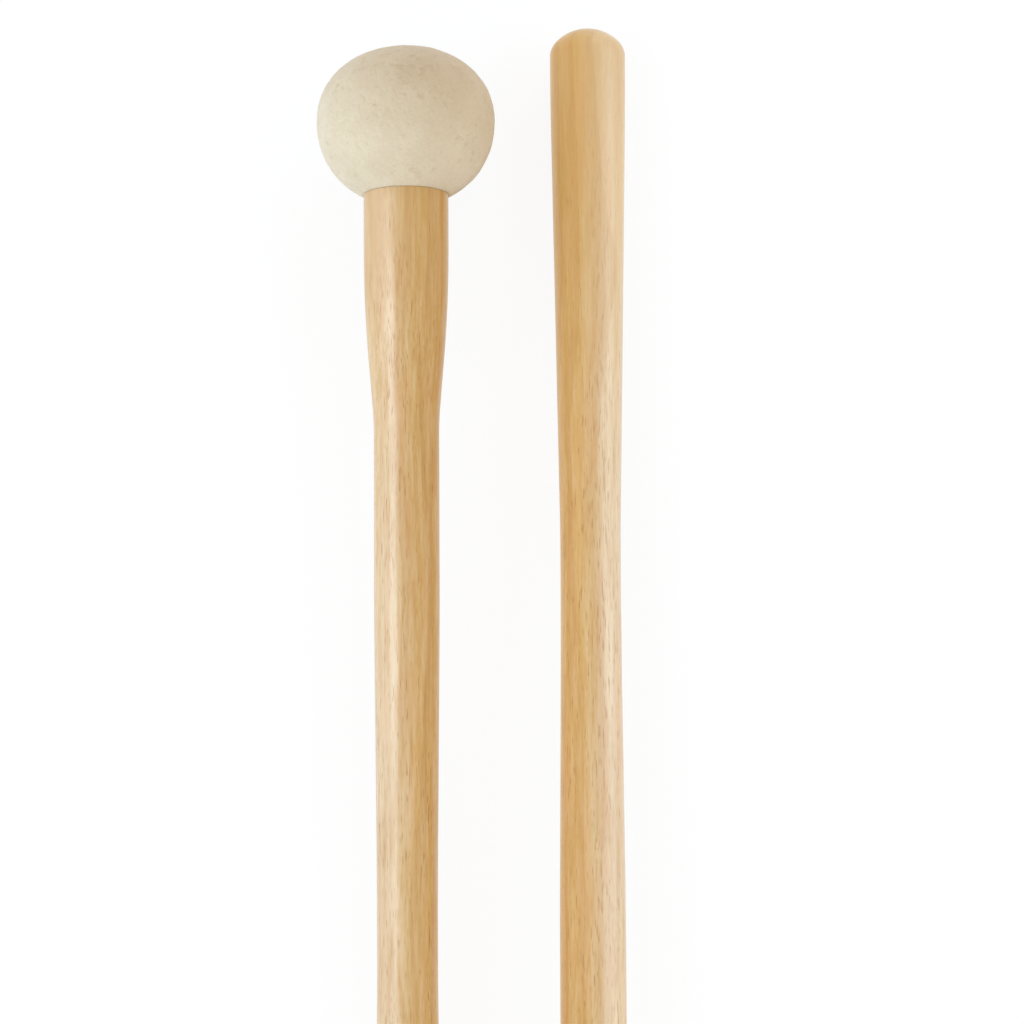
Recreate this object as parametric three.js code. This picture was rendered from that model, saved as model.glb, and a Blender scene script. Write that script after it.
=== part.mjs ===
// A pair of marching bass drum mallets, lying head to tail on a flat surface.
// Each mallet is a turned hardwood handle with a ball of hard felt glued on its tenon.
// Millimetres, +Z up. The surface is at Z = 0, the mallets lie along Y, and the origin is midway
// between them on the surface. Mallet 1 is on the -X side with its head towards +Y, and mallet 2 is
// the same mallet turned half a turn about Z.
import * as THREE from 'three';

// Handle: diameters
const gripDiameter = 18.75;
const waistDiameter = 14.9;
const shaftDiameter = 16.15;
const neckDiameter = 21.0;
const tenonDiameter = 12.7;

// Handle: lengths of its stretches, from the butt to the tenon's tip
const gripLength = 130.0;
const waistLength = 8.0;
const swellLength = 87.0;
const shaftLength = 38.5;
const flareLength = 47.0;
const neckLength = 13.6;
const tenonLength = 25.4;

// Handle: round and broken edges
const buttDomeRadius = 10.9;
const buttCornerRadius = 5.0;
const shoulderEdge = 0.4;
const tenonChamfer = 1.5;

// How much of each taper goes into its soft start and its soft end
const gripSoftShares = [0.15, 0.1];
const swellSoftShares = [0.3, 0.15];
const flareSoftShares = [0.16, 0.59];

// Felt head
const headDiameter = 44.1;
const crownHeight = 18.6;
const bellyHeight = 18.4;
const seatOverhang = 0.3;
// The outline's exponent: 2 is an ellipse, and more is squarer
const headSquareness = 2.1;

// Joint between tenon and head
const glueThickness = 0.5;
const fitClearance = 0.3;
const drillPointAngle = THREE.MathUtils.degToRad(118);

// How the two mallets lie
const sideGap = 13.8;
const stagger = 8.1;

// Flats round a turned surface, and steps along its outline
const turningFlats = 36;
const domeSteps = 5;
const cornerSteps = 3;
const taperSteps = 6;
const flareSteps = 9;
const headSteps = 11;

// Finishes
const lacqueredWood = { color: 0xd9b47c, roughness: 0.42, metalness: 0 };
const pressedFelt = { color: 0xdacfb5, roughness: 0.95, metalness: 0 };
const driedGlue = { color: 0xc9a25e, roughness: 0.5, metalness: 0 };

// A taper from 0 to 1 that starts and ends softly and runs straight in between
function softTaper(t, [startShare, endShare]) {
  const slope = 1 / (1 - (startShare + endShare) / 2);
  if (t < startShare) return (slope * t * t) / (2 * startShare);
  if (t <= 1 - endShare) return slope * (t - startShare / 2);
  return 1 - (slope * (1 - t) * (1 - t)) / (2 * endShare);
}

// The domed butt: a wide arc over the tip, rolled into the side by a tighter one.
// The tip is at the outline's start, and every outline point is (radius, place along the axis).
function buttOutline() {
  const gripRadius = gripDiameter / 2;
  const cornerOut = gripRadius - buttCornerRadius;
  const betweenCentres = buttDomeRadius - buttCornerRadius;
  const cornerAngle = Math.asin(cornerOut / betweenCentres);
  const cornerPlace = buttDomeRadius - betweenCentres * Math.cos(cornerAngle);
  const points = [new THREE.Vector2(0, 0)];
  for (let i = 1; i <= domeSteps; i++) {
    const angle = (cornerAngle * i) / domeSteps;
    const radius = buttDomeRadius * Math.sin(angle);
    points.push(new THREE.Vector2(radius, buttDomeRadius * (1 - Math.cos(angle))));
  }
  for (let i = 1; i <= cornerSteps; i++) {
    const angle = cornerAngle + ((Math.PI / 2 - cornerAngle) * i) / cornerSteps;
    const radius = cornerOut + buttCornerRadius * Math.sin(angle);
    points.push(new THREE.Vector2(radius, cornerPlace - buttCornerRadius * Math.cos(angle)));
  }
  return points;
}

// Adds a stretch that goes from the outline's last radius to a new diameter
function addStretch(points, stretchLength, toDiameter, softShares = null, steps = 1) {
  const from = points[points.length - 1].clone();
  const toRadius = toDiameter / 2;
  for (let i = 1; i <= steps; i++) {
    const t = i / steps;
    const blend = softShares ? softTaper(t, softShares) : t;
    points.push(new THREE.Vector2(from.x + (toRadius - from.x) * blend, from.y + stretchLength * t));
  }
}

// The outside of the handle, from the butt's tip to the foot of the shoulder's edge
const bodyOutline = buttOutline();
addStretch(bodyOutline, gripLength, waistDiameter, gripSoftShares, taperSteps);
addStretch(bodyOutline, waistLength, waistDiameter);
addStretch(bodyOutline, swellLength, shaftDiameter, swellSoftShares, taperSteps);
addStretch(bodyOutline, shaftLength, shaftDiameter);
addStretch(bodyOutline, flareLength, neckDiameter, flareSoftShares, flareSteps);
addStretch(bodyOutline, neckLength - shoulderEdge, neckDiameter);

// Places along the axis that the head and the glue share with the handle
const shoulderPlace = bodyOutline[bodyOutline.length - 1].y + shoulderEdge;
const tipPlace = shoulderPlace + tenonLength;
const seatPlace = shoulderPlace + fitClearance;
const equatorPlace = seatPlace + bellyHeight;
const tenonRadius = tenonDiameter / 2;
const glueInnerRadius = tenonRadius + fitClearance;
const glueOuterRadius = glueInnerRadius + glueThickness;
const boreRadius = glueOuterRadius + fitClearance;
const glueEndPlace = tipPlace + fitClearance + glueThickness;
const pointSlope = 1 / Math.tan(drillPointAngle / 2);

// The handle: its body, the flat shoulder and the tenon with its broken tip
function handleOutline() {
  return [
    ...bodyOutline,
    new THREE.Vector2(neckDiameter / 2 - shoulderEdge, shoulderPlace),
    new THREE.Vector2(tenonRadius, shoulderPlace),
    new THREE.Vector2(tenonRadius, tipPlace - tenonChamfer),
    new THREE.Vector2(tenonRadius - tenonChamfer, tipPlace),
    new THREE.Vector2(0, tipPlace),
  ];
}

// The felt ball: a flat seat just wider than the shoulder, a round belly, a flatter crown,
// and a drilled hole that ends in the drill's point
function feltOutline() {
  const headRadius = headDiameter / 2;
  const seatRadius = neckDiameter / 2 + seatOverhang;
  const power = 1 / headSquareness;
  const seatDepth = Math.pow(1 - Math.pow(seatRadius / headRadius, headSquareness), power);
  const bellyAxis = bellyHeight / seatDepth;
  const seatAngle = Math.asin(Math.pow(seatDepth, headSquareness / 2));
  const points = [
    new THREE.Vector2(0, glueEndPlace + fitClearance + boreRadius * pointSlope),
    new THREE.Vector2(boreRadius, glueEndPlace + fitClearance),
    new THREE.Vector2(boreRadius, seatPlace),
  ];
  const ring = (angle, axis) => new THREE.Vector2(
    headRadius * Math.pow(Math.cos(angle), 2 * power),
    equatorPlace + axis * Math.pow(Math.abs(Math.sin(angle)), 2 * power),
  );
  for (let i = headSteps; i > 0; i--) {
    points.push(ring((seatAngle * i) / headSteps, -bellyAxis));
  }
  for (let i = 0; i < headSteps; i++) {
    points.push(ring((Math.PI / 2) * (i / headSteps), crownHeight));
  }
  points.push(new THREE.Vector2(0, equatorPlace + crownHeight));
  return points;
}

// The glue: a cup over the tenon that follows the hole's pointed end
function glueOutline() {
  return [
    new THREE.Vector2(0, tipPlace + fitClearance),
    new THREE.Vector2(glueInnerRadius, tipPlace + fitClearance),
    new THREE.Vector2(glueInnerRadius, seatPlace + fitClearance),
    new THREE.Vector2(glueOuterRadius, seatPlace + fitClearance),
    new THREE.Vector2(glueOuterRadius, glueEndPlace),
    new THREE.Vector2(0, glueEndPlace + glueOuterRadius * pointSlope),
  ];
}

function turned(name, outline, finish) {
  const geometry = new THREE.LatheGeometry(outline, turningFlats);
  const mesh = new THREE.Mesh(geometry, new THREE.MeshStandardMaterial(finish));
  mesh.name = name;
  return mesh;
}

// A mallet rests on its head's widest ring and on the part of the handle that reaches the surface
// first, so its axis rises towards the head
const restAngle = Math.atan(Math.min(
  ...bodyOutline.map((p) => (headDiameter / 2 - p.x) / (equatorPlace - p.y)),
));
const restHeight = -Math.min(
  ...[...bodyOutline, ...feltOutline()].map((p) => p.y * Math.sin(restAngle) - p.x * Math.cos(restAngle)),
);
const malletLength = equatorPlace + crownHeight;
const spacing = headDiameter / 2 + gripDiameter / 2 + sideGap;

function mallet(number) {
  const group = new THREE.Group();
  group.add(turned(`mallet_${number}_handle`, handleOutline(), lacqueredWood));
  group.add(turned(`mallet_${number}_felt_head`, feltOutline(), pressedFelt));
  group.add(turned(`mallet_${number}_glue_bond`, glueOutline(), driedGlue));
  group.rotation.x = restAngle;
  group.position.set(-spacing / 2, -(malletLength + stagger) / 2, restHeight);
  return group;
}

const pair = new THREE.Group();
pair.add(mallet(1));
const turnedEnd = new THREE.Group();
turnedEnd.add(mallet(2));
turnedEnd.rotation.z = Math.PI;
pair.add(turnedEnd);

export default pair;
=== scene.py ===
"""Bass drum mallets: a pair of turned hardwood handles with pressed felt heads, lying head to tail.

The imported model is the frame. The handles and the felt heads are turned again here by Geometry Nodes
from the same sizes, with more flats and rounder edges. The felt gets a short nap of wool fibres, and
every surface its finish.
Each mallet is turned about its own +Y axis with the butt's tip at the origin, and is then laid down.
"""

import math

import bpy
from bpy.props import (
    FloatProperty,
    FloatVectorProperty,
    IntProperty,
    PointerProperty,
)
from mathutils import Matrix, Vector


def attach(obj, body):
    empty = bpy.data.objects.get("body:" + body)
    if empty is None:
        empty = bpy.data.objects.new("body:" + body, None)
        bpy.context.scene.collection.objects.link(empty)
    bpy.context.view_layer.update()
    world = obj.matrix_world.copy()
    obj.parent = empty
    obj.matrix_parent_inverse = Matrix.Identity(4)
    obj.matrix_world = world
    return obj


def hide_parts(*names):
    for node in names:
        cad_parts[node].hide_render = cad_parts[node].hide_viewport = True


bl_info = {
    "name": "Bass drum mallets",
    "version": (1, 0, 0),
    "blender": (4, 5, 0),
    "location": "View3D > Sidebar > Mallets",
    "description": "Turns the handles, presses the felt heads and sets the stage for a pair of mallets",
    "category": "Object",
}

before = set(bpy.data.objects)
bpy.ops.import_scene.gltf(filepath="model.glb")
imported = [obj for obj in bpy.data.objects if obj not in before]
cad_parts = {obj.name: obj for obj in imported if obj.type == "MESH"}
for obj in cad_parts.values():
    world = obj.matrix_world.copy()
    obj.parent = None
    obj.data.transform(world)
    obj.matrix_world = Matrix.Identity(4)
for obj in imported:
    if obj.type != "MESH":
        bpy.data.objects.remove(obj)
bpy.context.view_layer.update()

MALLETS = (1, 2)
MILLIMETRE = 0.001
PER_METRE = 1000.0
SQUARE_CENTIMETRES = 10000.0
WHITE = (1.0, 1.0, 1.0)
HALF_TURN = Matrix.Rotation(math.pi, 4, "Z")
SENSOR_WIDTH = 36.0

# Points of two strips that lie closer than this are one, in metres
DOUBLES = 0.000002

# Faces that meet at more than this have a crease between them
WOOD_CREASE = math.radians(30)
FELT_CREASE = math.radians(40)

# Soft start and end of the stretches that are plain cylinders, cones and flat rings, and the least
# that any stretch can have
PLAIN_SOFT = 0.1
LEAST_SOFT = 0.001

# Parts of the handle that have a diameter, a length or a soft start and end
DIAMETERS = ("grip", "waist", "shaft", "neck", "tenon")
STRETCHES = ("grip", "waist", "swell", "shaft", "flare", "neck")
EASED_PARTS = ("grip", "swell", "flare")
HANDLE_LENGTHS = (
    *(f"{part}_diameter" for part in DIAMETERS),
    *(f"{part}_length" for part in (*STRETCHES, "tenon")),
    "dome_radius",
    "corner_radius",
    "shoulder_edge",
    "tenon_chamfer",
)

# Seeds of the first mallet's patterns. The second mallet's are twice as large.
WOOD_SEED = 3.7
FELT_SEED = 5.3
LUMP_SEED = 1.7
NAP_SEED = 9.1
GLUE_CLOUD_SEED = 2.9
GLUE_BUBBLE_SEED = 4.1

# Seed of the stray fibres, to which the mallet's number is added
FIBRE_SEED = 41

# Layers of the wood's grain: scale across and along it per millimetre, detail, roughness and seed
GRAIN = {
    "wander": (0.04, 0.009, 2.0, 0.5, 0.0),
    "bands": (0.28, 0.007, 3.0, 0.55, 1.0),
    "streaks": (1.0, 0.07, 3.0, 0.62, 2.0),
    "fibres": (7.0, 0.5, 3.0, 0.6, 3.0),
    "flecks": (2.2, 0.4, 2.0, 0.5, 7.0),
    "clouds": (0.4, 0.03, 2.0, 0.5, 4.0),
    "crowd": (0.2, 0.018, 2.0, 0.5, 5.0),
    "dashes": (3.2, 0.27, 1.0, 0.4, 6.0),
}

# Layers of the felt, in the same way
WOOL = {
    "patches": (0.12, 0.12, 3.0, 0.55, 0.0),
    "matting": (1.1, 1.1, 4.0, 0.65, 1.0),
    "wool": (4.5, 4.5, 3.0, 0.7, 2.0),
    "bits": (1.6, 1.6, 1.0, 0.4, 3.0),
}

# Stretches of the handle in millimetres from the butt: the grain gets livelier over the first and
# quieter over the second, and a painted sheen pales the wood over the third and leaves it over the fourth
LIVELIER = (10.0, 150.0)
QUIETER = (285.0, 330.0)
SHEEN_IN = (45.0, 125.0)
SHEEN_OUT = (160.0, 320.0)

# Across the handle in millimetres: from the outer side, paler with painted sheen, to the inner side,
# deeper with painted shade, partly also sapwood and heartwood; and the strip that has more pores, which
# starts over the first pair and ends over the second
SHEEN_TO_SHADE_SIDES = (-6.0, 4.5)
STRIP_START = (-9.0, -4.0)
STRIP_END = (-2.0, 2.0)

# Lumps and pits of the felt start at the rim of the seat and grow over this distance, in metres
SEAT_FADE = 0.0025

# Further in they start this far above the seat and grow over this distance, in metres
CROWN_START = 0.016
CROWN_FADE = 0.002

# Pits of the felt: roughness of their noise, scale of the crowds that they lie in as a share of their
# own, how much the crowds count, and the noise at which a pit starts and at which it is full
PIT_ROUGHNESS = 0.4
CROWD_SCALE = 0.14
CROWD_WEIGHT = 0.5
PIT_MARKS = (0.6, 0.78)

# Stray fibres of the felt: the least and the most that they lean, the shortest and the longest as a
# share of the nap's length, and how far the tip curls sideways, in thicknesses, and down, in lengths
FIBRE_LEANS = (math.radians(35), math.radians(80))
FIBRE_SHARES = (0.35, 1.0)
FIBRE_CURL = 9.0
FIBRE_DROP = 0.25


# Properties


def length(name, description, millimetres):
    """A length that is shown in the scene's unit."""
    return FloatProperty(
        name=name,
        description=description,
        default=millimetres * MILLIMETRE,
        min=0.0,
        precision=5,
        unit="LENGTH",
    )


def colour(name, description, red, green, blue):
    """A colour, written as it is seen on a screen, from 0 to 255."""
    return FloatVectorProperty(
        name=name,
        description=description,
        subtype="COLOR",
        size=3,
        min=0.0,
        max=1.0,
        default=[linear(value / 255) for value in (red, green, blue)],
    )


def linear(value):
    """A screen value from 0 to 1 as an amount of light."""
    if value <= 0.04045:
        return value / 12.92
    return ((value + 0.055) / 1.055) ** 2.4


def shown(name):
    """A size's name as its input shows it."""
    return name.replace("_", " ").capitalize()


def degrees(name, description, value):
    """An angle, written in degrees."""
    return FloatProperty(name=name, description=description, default=math.radians(value), subtype="ANGLE")


def fraction(name, description, value):
    """A part of a whole, from 0 to 1."""
    return FloatProperty(name=name, description=description, default=value, min=0.0, max=1.0)


def power(name, description, watts):
    """The power of a lamp."""
    return FloatProperty(name=name, description=description, default=watts, unit="POWER")


def pair(name, description, first, second, **facts):
    """Two values under one name."""
    values = (first, second)
    return FloatVectorProperty(name=name, description=description, size=2, default=values, **facts)


def soft_shares(name, description, start, end):
    """How much of a taper goes into its soft start and its soft end."""
    return pair(name, description, start, end, min=LEAST_SOFT, max=1.0)


def lamp_size(name, width, reach):
    """Width and length of a lamp, in metres."""
    return pair(name, "Width and length of the lamp", width, reach, unit="LENGTH")


def for_both(name, description, first, second, unit="NONE"):
    """A value for mallet 1 and one for mallet 2."""
    return pair(name, f"{description}, for mallet 1 and for mallet 2", first, second, unit=unit)


def angles_for_both(name, description, first, second):
    """An angle for mallet 1 and one for mallet 2, written in degrees."""
    return for_both(name, description, math.radians(first), math.radians(second), "ROTATION")


class HandleSizes(bpy.types.PropertyGroup):
    """Sizes of the turned handle, from the butt to the tenon."""

    grip_diameter: length("Grip diameter", "Widest part of the grip, next to the butt", 18.75)
    waist_diameter: length("Waist diameter", "Thinnest part of the handle", 14.9)
    shaft_diameter: length("Shaft diameter", "The straight part between waist and neck", 16.15)
    neck_diameter: length("Neck diameter", "The wood next to the felt", 21.0)
    tenon_diameter: length("Tenon diameter", "The pin inside the felt head", 12.7)
    grip_length: length("Grip length", "From the butt's round to the waist", 130.0)
    waist_length: length("Waist length", "The straight stretch at the thinnest part", 8.0)
    swell_length: length("Swell length", "From the waist to the straight shaft", 87.0)
    shaft_length: length("Shaft length", "The straight shaft", 38.5)
    flare_length: length("Flare length", "From the shaft to the neck", 47.0)
    neck_length: length("Neck length", "The straight neck up to the shoulder", 13.6)
    tenon_length: length("Tenon length", "From the shoulder to the tenon's tip", 25.4)
    dome_radius: length("Dome radius", "The wide round over the butt's tip", 10.9)
    corner_radius: length("Corner radius", "The tighter round between dome and grip", 5.0)
    shoulder_edge: length("Shoulder edge", "Round on the shoulder's rim", 0.15)
    tenon_chamfer: length("Tenon chamfer", "Bevel on the tenon's tip", 1.5)
    grip_soft: soft_shares("Grip taper", "Soft start and end of the grip's taper", 0.15, 0.1)
    swell_soft: soft_shares("Swell taper", "Soft start and end of the swell", 0.3, 0.15)
    flare_soft: soft_shares("Flare taper", "Soft start and end of the flare", 0.16, 0.59)
    flats: IntProperty(name="Flats", description="Flats round the handle", default=144, min=12)


class HeadSizes(bpy.types.PropertyGroup):
    """Sizes of the felt ball and of its hole."""

    head_diameter: length("Head diameter", "Widest ring of the felt ball", 44.1)
    crown_height: length("Crown height", "From the widest ring to the top", 18.6)
    belly_height: length("Belly height", "From the seat to the widest ring", 18.4)
    seat_overhang: length("Seat overhang", "Felt that stands past the wood's shoulder", 0.3)
    seat_gap: length("Seat gap", "Between the wood's shoulder and the felt that bears on it", 0.02)
    squareness: FloatProperty(
        name="Squareness",
        description="Exponent of the ball's outline: 2 is an ellipse, and more is squarer",
        default=2.1,
        min=1.5,
        max=4.0,
    )
    glue_thickness: length("Glue thickness", "Glue between the tenon and the felt", 0.5)
    fit_clearance: length("Fit clearance", "Room left on each side of the glue", 0.3)
    drill_point: degrees("Drill point", "Angle of the hole's pointed end", 118)
    lump_depth: length("Lump depth", "How far the pressed felt rises and sinks", 0.1)
    lump_size: length("Lump size", "How wide the felt's low lumps are", 5.0)
    pit_depth: length("Pit depth", "Depth of the small pits between the wool's tufts", 0.14)
    pit_size: length("Pit size", "How wide the small pits are", 1.5)
    nap_length: length("Nap length", "Longest of the stray wool fibres", 0.9)
    nap_thickness: length("Nap thickness", "Thickness of a stray fibre at its root", 0.035)
    nap_per_square: FloatProperty(
        name="Nap density",
        description="Stray fibres on a square centimetre of felt",
        default=60.0,
        min=0.0,
    )
    flats: IntProperty(name="Flats", description="Flats round the head", default=360, min=12)


class LyingPlace(bpy.types.PropertyGroup):
    """How a mallet lies on the surface."""

    spacing: length("Spacing", "Between the axes of the two mallets", 45.225)
    butt_back: length("Butt's place", "From the middle of the pair back to the butt's tip", 188.2208)
    rest_height: length("Rest height", "Height of the axis at the butt's tip", 9.1121)
    rest_angle: degrees("Rest angle", "How much the axis rises from the butt to the head", 2.1175)


class WoodLooks(bpy.types.PropertyGroup):
    """Colours and grain of the lacquered wood, with its painted sheen and painted shade."""

    # Painted sheen: the outer side, where the key lamp falls, is paler; partly also real sapwood
    pale: colour("Pale wood", "Sapwood, on the outer side of the blank", 206, 176, 134)
    # Painted sheen: the pale outer-side wood, paled further along the middle of the handle
    sheen_faded: colour("Faded wood", "The palest sapwood, in the middle of the handle", 208, 183, 150)
    # Painted shade: the inner side, away from the key lamp, is deeper; partly also real heartwood
    deep: colour("Deep wood", "Wood nearer the tree's heart, on the other side", 198, 162, 100)
    # Painted sheen: the deeper wood, paled along the middle of the handle
    sheen_golden: colour("Golden wood", "The same wood in the middle of the handle", 206, 171, 109)
    bright: colour("Bright streak", "Light streaks between the darker grain", 222, 198, 158)
    ring: colour("Ring", "Late wood at the edge of a growth ring", 180, 132, 78)
    blush: colour("Blush", "Faint pink clouds in the wood", 212, 160, 116)
    pore: colour("Pore", "Short dark dashes along the grain", 150, 100, 42)
    streak_strength: fraction("Streak strength", "How much the long streaks show", 0.48)
    fleck_strength: fraction("Fleck strength", "How much the short flecks show", 0.2)
    blush_strength: fraction("Blush strength", "How much the pink clouds show", 0.6)
    ring_strength: fraction("Ring strength", "How much the growth rings show", 0.22)
    pore_strength: fraction("Pore strength", "How much the dark dashes show", 0.44)
    ring_spacing: length("Ring spacing", "Distance between two growth rings", 5.2)
    pith_across: length("Pith across", "From the handle's axis sideways to the tree's pith", 36.0)
    pith_below: length("Pith below", "From the handle's axis down to the tree's pith", 17.0)
    ring_wander: length("Ring wander", "How far the rings wander along the handle", 16.0)
    grain_depth: length("Grain depth", "Depth of the grain in the wood's surface", 0.12)
    lacquer_roughness: fraction("Lacquer roughness", "Roughness of the clear coat", 0.22)
    lacquer_weight: fraction("Lacquer weight", "How much of the gloss the clear coat gives", 0.6)


class FeltLooks(bpy.types.PropertyGroup):
    """Colours of the pressed felt and of the glue under it."""

    pale: colour("Pale felt", "Most of the felt", 210, 197, 171)
    # Also the colour of the painted shade in the felt's pits
    shade: colour("Shaded felt", "Denser patches of the felt", 196, 179, 149)
    speck: colour("Speck", "Small bits in the wool", 172, 148, 114)
    speck_strength: fraction("Speck strength", "How much the small bits show", 0.4)
    matting_depth: length("Matting depth", "Depth of the fine matted surface", 0.6)
    sheen: fraction("Sheen", "Soft sheen of the wool", 0.25)
    glue: colour("Glue", "Set wood glue", 201, 162, 94)
    glue_depth: length("Glue depth", "How uneven the glue is", 0.2)


class StageSettings(bpy.types.PropertyGroup):
    """Light, floor and camera."""

    sky: colour("Sky", "Even light from all round", 255, 239, 222)
    sky_strength: fraction("Sky strength", "Strength of the even light", 0.83)
    key: colour("Key", "The soft lamps on the outer side of each mallet", 197, 228, 255)
    fill: colour("Fill", "The weak lamp on the inner side of each mallet", 238, 244, 248)
    gleam: colour("Gleam", "The lamp that the lacquer mirrors", 212, 238, 255)
    key_power: power("Key power", "The lamp high on the outer side of each mallet", 19.8)
    key_size: lamp_size("Key size", 0.9, 2.4)
    key_lean: degrees("Key lean", "Angle between straight up and the key lamp", 45)
    side_power: power("Side power", "The lamp low on the outer side of each mallet", 12.4)
    side_size: lamp_size("Side size", 1.2, 2.4)
    side_lean: degrees("Side lean", "Angle between straight up and the side lamp", 74)
    front_powers: for_both("Front powers", "The lamp at the butt's end", 25.6, 17.0, "POWER")
    front_size: lamp_size("Front size", 1.2, 1.2)
    front_lean: degrees("Front lean", "Angle between straight up and the front lamp", 60)
    front_turn: degrees("Front turn", "Angle from the outer side towards the butt, for the front lamp", 65)
    fill_powers: for_both("Fill powers", "The lamp on the inner side", 14.5, 22.5, "POWER")
    fill_size: lamp_size("Fill size", 1.2, 2.4)
    fill_leans: angles_for_both("Fill leans", "Angle between straight up and the fill lamp", 95, 72)
    gleam_strengths: for_both("Gleam strengths", "Brightness of the mirrored lamp", 9.0, 4.5)
    gleam_widths: for_both("Gleam widths", "Width of the mirrored lamp", 0.37, 2.4, "LENGTH")
    gleam_lengths: for_both("Gleam lengths", "Length of the mirrored lamp", 0.2, 1.6, "LENGTH")
    gleam_leans: angles_for_both("Gleam leans", "Angle between straight up and that lamp", 47, 64)
    gleam_turns: angles_for_both("Gleam turns", "Turn of that lamp towards the butt", -15, 0)
    gleam_distances: for_both("Gleam distances", "From that lamp to its mallet", 0.8, 2.4, "LENGTH")
    lamp_distance: length("Lamp distance", "From each other lamp to the middle of its mallet", 2400.0)
    floor_size: length("Floor size", "Side of the square floor", 24000.0)
    floor_paint: fraction("Floor paint", "How much light the floor gives back", 0.86)
    floor_white: fraction("Floor white", "How much of the floor is plain white, shadows or not", 0.88)
    camera_target: FloatVectorProperty(
        name="Camera target",
        description="The point that the camera looks at",
        subtype="TRANSLATION",
        size=3,
        default=(0.0033, 0.0641, 0.012),
    )
    camera_distance: length("Camera distance", "From the camera to the point it looks at", 2466.7)
    camera_tilt: degrees("Camera tilt", "Angle between the view and straight down", 13.2)
    camera_roll: degrees("Camera roll", "Turn of the camera about its view", -0.24)
    camera_near: length("Camera start", "The nearest that the camera sees", 50.0)
    camera_far: length("Camera end", "The furthest that the camera sees", 100000.0)
    lens: FloatProperty(
        name="Lens", description="Focal length on a 36 mm sensor", default=351.56, unit="CAMERA"
    )


class MalletSettings(bpy.types.PropertyGroup):
    """All settings of the pair."""

    handle: PointerProperty(type=HandleSizes)
    head: PointerProperty(type=HeadSizes)
    lying: PointerProperty(type=LyingPlace)
    wood: PointerProperty(type=WoodLooks)
    felt: PointerProperty(type=FeltLooks)
    stage: PointerProperty(type=StageSettings)


# Node trees


class Amount:
    """A number in a node tree. Its sums, products and powers become Math nodes."""

    def __init__(self, tree, source):
        self.tree = tree
        self.source = source

    def math(self, operation, *others, clamp=False):
        return worked_out(self.tree, operation, (self, *others), clamp)

    def __add__(self, other):
        return self.math("ADD", other)

    def __sub__(self, other):
        return self.math("SUBTRACT", other)

    def __rsub__(self, other):
        return worked_out(self.tree, "SUBTRACT", (other, self))

    def __mul__(self, other):
        return self.math("MULTIPLY", other)

    def __truediv__(self, other):
        return self.math("DIVIDE", other)

    def __rtruediv__(self, other):
        return worked_out(self.tree, "DIVIDE", (other, self))

    def __pow__(self, other):
        return self.math("POWER", other)

    def __neg__(self):
        return self * -1.0

    def at_least(self, other):
        return self.math("MAXIMUM", other)

    def clamped(self):
        return self.math("ADD", 0.0, clamp=True)


def worked_out(tree, operation, values, clamp=False):
    """A Math node for a few numbers, as an amount."""
    made = tree.nodes.new("ShaderNodeMath")
    made.operation = operation
    made.use_clamp = clamp
    for entry, value in zip(made.inputs, values):
        connect(tree, value, entry)
    return Amount(tree, made.outputs[0])


def connect(tree, value, entry):
    """Links an amount or a socket to an input, or sets the input to a plain value."""
    if isinstance(value, Amount):
        value = value.source
    if isinstance(value, bpy.types.NodeSocket):
        tree.links.new(value, entry)
    else:
        entry.default_value = value


def pick(sockets, name):
    """The socket of that name or number which is in use."""
    if isinstance(name, int):
        return sockets[name]
    return next(one for one in sockets if one.name == name and one.enabled)


def add_node(tree, kind, entries=None, **settings):
    """Adds a node, with its settings and with what goes into its inputs."""
    made = tree.nodes.new(kind)
    for name, value in settings.items():
        setattr(made, name, value)
    for name, value in (entries or {}).items():
        connect(tree, value, pick(made.inputs, name))
    return made


def arrange(tree):
    """Sets the nodes out in columns, from the inputs on the left to the output on the right."""
    depth = {made: 0 for made in tree.nodes}
    for _ in range(len(tree.nodes)):
        moved = False
        for link in tree.links:
            if depth[link.to_node] <= depth[link.from_node]:
                depth[link.to_node] = depth[link.from_node] + 1
                moved = True
        if not moved:
            break
    rows = {}
    for made, column in depth.items():
        row = rows.get(column, 0)
        rows[column] = row + 1
        made.location = (column * 220, -row * 190)


def here(tree):
    """X, Y and Z of each point of a shape."""
    position = tree.nodes.new("GeometryNodeInputPosition")
    split = add_node(tree, "ShaderNodeSeparateXYZ", {0: position.outputs[0]})
    return [Amount(tree, one) for one in split.outputs]


def vector(tree, x=0.0, y=0.0, z=0.0):
    """Three numbers as one place, turn or size."""
    return add_node(tree, "ShaderNodeCombineXYZ", {"X": x, "Y": y, "Z": z}).outputs[0]


def noise(tree, place, seed, scale, detail, roughness, **settings):
    """Noise at a place, with a seed of its own."""
    made = add_node(
        tree,
        "ShaderNodeTexNoise",
        {"Vector": place, "W": seed, "Scale": scale, "Detail": detail, "Roughness": roughness},
        noise_dimensions="4D",
        **settings,
    )
    return Amount(tree, made.outputs[0])


def between(value, low, high):
    """0 below a low mark, 1 above a high one, and a soft change from one to the other."""
    made = add_node(
        value.tree,
        "ShaderNodeMapRange",
        {"Value": value, "From Min": low, "From Max": high},
        interpolation_type="SMOOTHSTEP",
    )
    return Amount(value.tree, made.outputs[0])


def until(value, low, high):
    """1 below a low mark and 0 above a high one."""
    return 1.0 - between(value, low, high)


NUMBER = "NodeSocketFloat"
COUNT = "NodeSocketInt"
SHAPE = "NodeSocketGeometry"
FINISH = "NodeSocketMaterial"


def numbers(*names):
    """Inputs that take a number each."""
    return dict.fromkeys(names, NUMBER)


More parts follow.
